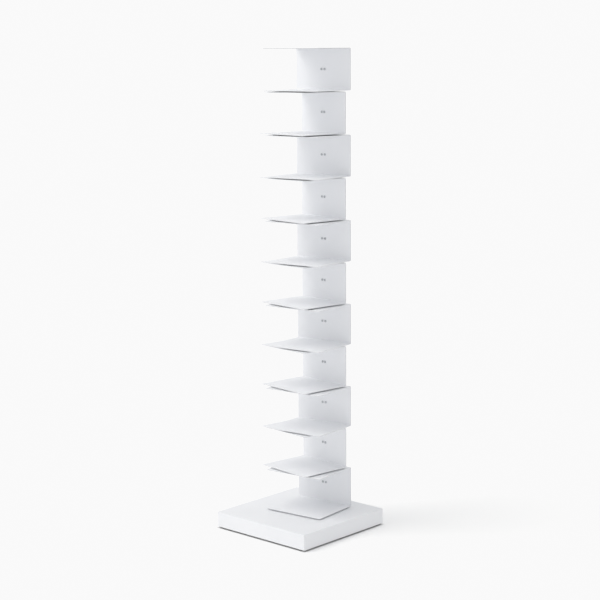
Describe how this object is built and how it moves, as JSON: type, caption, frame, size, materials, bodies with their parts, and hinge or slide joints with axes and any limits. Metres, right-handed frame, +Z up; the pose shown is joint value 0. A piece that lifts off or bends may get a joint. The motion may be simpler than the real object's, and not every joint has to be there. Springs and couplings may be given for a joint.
{
  "type": "spine bookshelf",
  "caption": "White steel book tower: folded C-shaped shelf units lean left and right by turns on a hidden post over a square weighted base.",
  "frame": {"origin": "centre of the square base on the floor", "axes": "+Z up the tower, -Y towards the open front of the shelves, +X along the shelf walls"},
  "size_m": [0.38, 0.38, 1.528],
  "materials": {
    "white_coat": "fine satin powder coat on folded sheet steel",
    "raw_steel": "hot-rolled plate, oiled",
    "zinc_steel": "bright zinc plated",
    "foot_rubber": "matt moulded rubber",
    "cap_plastic": "white moulded plastic"
  },
  "bodies": {
    "root": {"base_cover": "white_coat", "ballast_plate": "raw_steel", "base_feet": "foot_rubber", "cover_clips": "zinc_steel", "clip_screws": "zinc_steel", "post_flange": "white_coat", "flange_bolts": "zinc_steel", "spine_post": "white_coat", "post_cap": "cap_plastic", "shelf_01": "white_coat", "bracket_01": "white_coat", "shelf_02": "white_coat", "bracket_02": "white_coat", "shelf_03": "white_coat", "bracket_03": "white_coat", "shelf_04": "white_coat", "bracket_04": "white_coat", "shelf_05": "white_coat", "bracket_05": "white_coat", "shelf_06": "white_coat", "bracket_06": "white_coat", "shelf_07": "white_coat", "bracket_07": "white_coat", "shelf_08": "white_coat", "bracket_08": "white_coat", "shelf_09": "white_coat", "bracket_09": "white_coat", "shelf_10": "white_coat", "bracket_10": "white_coat", "shelf_11": "white_coat", "bracket_11": "white_coat"}
  },
  "joints": []
}
